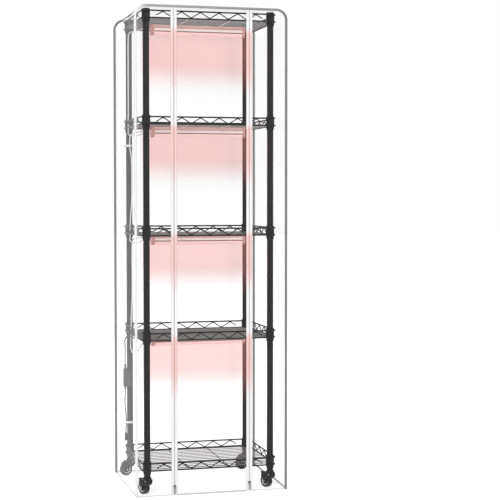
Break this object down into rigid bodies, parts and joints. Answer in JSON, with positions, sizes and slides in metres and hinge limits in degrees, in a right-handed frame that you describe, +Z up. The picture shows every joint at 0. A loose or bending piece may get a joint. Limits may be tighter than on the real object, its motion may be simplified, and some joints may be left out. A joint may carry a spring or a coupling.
{
  "type": "indoor greenhouse",
  "caption": "Tall wire shelving rack on swivel casters with a light bar over every tier and a clear zip-up film cover whose front door rolls up.",
  "frame": {"origin": "on the floor, midway between the four posts", "axes": "+Z up, -Y towards the door, +X to the right seen from the door"},
  "size_m": [0.609, 0.496, 1.8946],
  "materials": {
    "coated_steel": "powder coat, satin",
    "black_plastic": "moulded, fine texture",
    "wheel_plastic": "hard moulded tread",
    "lamp_plastic": "moulded, satin",
    "frosted_diffuser": "frosted",
    "white_jacket": "extruded PVC",
    "dark_jacket": "extruded PVC",
    "button_plastic": "moulded",
    "clear_film": "clear PVC film",
    "grey_piping": "soft PVC piping",
    "white_tape": "woven zip tape",
    "zip_metal": "die cast"
  },
  "bodies": {
    "frame": {"post_front_left": "coated_steel", "post_front_right": "coated_steel", "post_rear_left": "coated_steel", "post_rear_right": "coated_steel", "post_cap_front_left": "black_plastic", "post_cap_front_right": "black_plastic", "post_cap_rear_left": "black_plastic", "post_cap_rear_right": "black_plastic", "shelf_1": "coated_steel", "shelf_2": "coated_steel", "shelf_3": "coated_steel", "shelf_4": "coated_steel", "shelf_5": "coated_steel", "lamp_housing_1": "lamp_plastic", "lamp_diffuser_1": "frosted_diffuser", "lamp_housing_2": "lamp_plastic", "lamp_diffuser_2": "frosted_diffuser", "lamp_housing_3": "lamp_plastic", "lamp_diffuser_3": "frosted_diffuser", "lamp_housing_4": "lamp_plastic", "lamp_diffuser_4": "frosted_diffuser", "cord_lamp_4_to_3": "white_jacket", "cord_lamp_3_to_2": "white_jacket", "cord_lamp_2_to_1": "white_jacket", "cord_lamp_1_to_controller": "dark_jacket", "cord_supply": "dark_jacket", "supply_socket": "black_plastic", "cord_tie_upper": "white_jacket", "cord_tie_lower": "white_jacket", "controller_case": "black_plastic", "cover_left": "clear_film", "cover_right": "clear_film", "cover_top": "clear_film", "cover_rear": "clear_film", "cover_front_left": "clear_film", "cover_front_right": "clear_film", "cover_piping_front": "grey_piping", "cover_piping_rear": "grey_piping", "zip_tape_left": "white_tape", "zip_tape_right": "white_tape", "door_panel": "clear_film"},
    "door": {"door_hem": "clear_film"},
    "zip_slider_left": {"zip_slider_left": "zip_metal"},
    "zip_pull_left": {"zip_pull_left": "zip_metal"},
    "zip_slider_right": {"zip_slider_right": "zip_metal"},
    "zip_pull_right": {"zip_pull_right": "zip_metal"},
    "button_power": {"controller_button_power": "button_plastic"},
    "button_dim": {"controller_button_dim": "button_plastic"},
    "button_timer": {"controller_button_timer": "button_plastic"},
    "caster_front_left": {"caster_fork_front_left": "black_plastic"},
    "wheel_front_left": {"caster_wheel_front_left": "wheel_plastic"},
    "pedal_front_left": {"brake_pedal_front_left": "black_plastic"},
    "caster_front_right": {"caster_fork_front_right": "black_plastic"},
    "wheel_front_right": {"caster_wheel_front_right": "wheel_plastic"},
    "pedal_front_right": {"brake_pedal_front_right": "black_plastic"},
    "caster_rear_left": {"caster_fork_rear_left": "black_plastic"},
    "wheel_rear_left": {"caster_wheel_rear_left": "wheel_plastic"},
    "caster_rear_right": {"caster_fork_rear_right": "black_plastic"},
    "wheel_rear_right": {"caster_wheel_rear_right": "wheel_plastic"}
  },
  "joints": [
    {"name": "door_lift", "type": "slide", "parent": "frame", "child": "door", "axis": [0, 0, 1], "range_m": [0, 1.74], "deforming": ["door_panel"]},
    {"name": "zip_left_slide", "type": "slide", "parent": "frame", "child": "zip_slider_left", "axis": [0, 0, 1], "range_m": [0, 1.74]},
    {"name": "zip_left_pull_swing", "type": "hinge", "parent": "zip_slider_left", "child": "zip_pull_left", "pos_m": [-0.15, -0.2477, 0.036], "axis": [-1, 0, 0], "range_deg": [0, 170]},
    {"name": "zip_right_slide", "type": "slide", "parent": "frame", "child": "zip_slider_right", "axis": [0, 0, 1], "range_m": [0, 1.74]},
    {"name": "zip_right_pull_swing", "type": "hinge", "parent": "zip_slider_right", "child": "zip_pull_right", "pos_m": [0.15, -0.2477, 0.036], "axis": [-1, 0, 0], "range_deg": [0, 170]},
    {"name": "button_power_press", "type": "slide", "parent": "frame", "child": "button_power", "axis": [0, 1, 0], "range_m": [0, 0.0012], "stiffness_N_per_m": 300},
    {"name": "button_dim_press", "type": "slide", "parent": "frame", "child": "button_dim", "axis": [0, 1, 0], "range_m": [0, 0.0012], "stiffness_N_per_m": 300},
    {"name": "button_timer_press", "type": "slide", "parent": "frame", "child": "button_timer", "axis": [0, 1, 0], "range_m": [0, 0.0012], "stiffness_N_per_m": 300},
    {"name": "caster_front_left_swivel", "type": "hinge", "parent": "frame", "child": "caster_front_left", "pos_m": [-0.2485, -0.1925, 0.06], "axis": [0, 0, 1], "continuous": true},
    {"name": "wheel_front_left_spin", "type": "hinge", "parent": "caster_front_left", "child": "wheel_front_left", "pos_m": [-0.25835, -0.17509, 0.025], "axis": [-0.8704, -0.4924, 0], "continuous": true},
    {"name": "pedal_front_left_press", "type": "hinge", "parent": "caster_front_left", "child": "pedal_front_left", "pos_m": [-0.26229, -0.16813, 0.0545], "axis": [-0.8704, -0.4924, 0], "range_deg": [0, 12]},
    {"name": "caster_front_right_swivel", "type": "hinge", "parent": "frame", "child": "caster_front_right", "pos_m": [0.2485, -0.1925, 0.06], "axis": [0, 0, 1], "continuous": true},
    {"name": "wheel_front_right_spin", "type": "hinge", "parent": "caster_front_right", "child": "wheel_front_right", "pos_m": [0.23865, -0.17509, 0.025], "axis": [-0.8704, -0.4924, 0], "continuous": true},
    {"name": "pedal_front_right_press", "type": "hinge", "parent": "caster_front_right", "child": "pedal_front_right", "pos_m": [0.23471, -0.16813, 0.0545], "axis": [-0.8704, -0.4924, 0], "range_deg": [0, 12]},
    {"name": "caster_rear_left_swivel", "type": "hinge", "parent": "frame", "child": "caster_rear_left", "pos_m": [-0.2485, 0.1925, 0.06], "axis": [0, 0, 1], "continuous": true},
    {"name": "wheel_rear_left_spin", "type": "hinge", "parent": "caster_rear_left", "child": "wheel_rear_left", "pos_m": [-0.26772, 0.18699, 0.025], "axis": [0.2756, -0.9613, 0], "continuous": true},
    {"name": "caster_rear_right_swivel", "type": "hinge", "parent": "frame", "child": "caster_rear_right", "pos_m": [0.2485, 0.1925, 0.06], "axis": [0, 0, 1], "continuous": true},
    {"name": "wheel_rear_right_spin", "type": "hinge", "parent": "caster_rear_right", "child": "wheel_rear_right", "pos_m": [0.22928, 0.18699, 0.025], "axis": [0.2756, -0.9613, 0], "continuous": true}
  ],
  "couplings": [
    {"joint": "zip_left_slide", "follows": "door_lift", "ratio": 1},
    {"joint": "zip_right_slide", "follows": "door_lift", "ratio": 1}
  ]
}
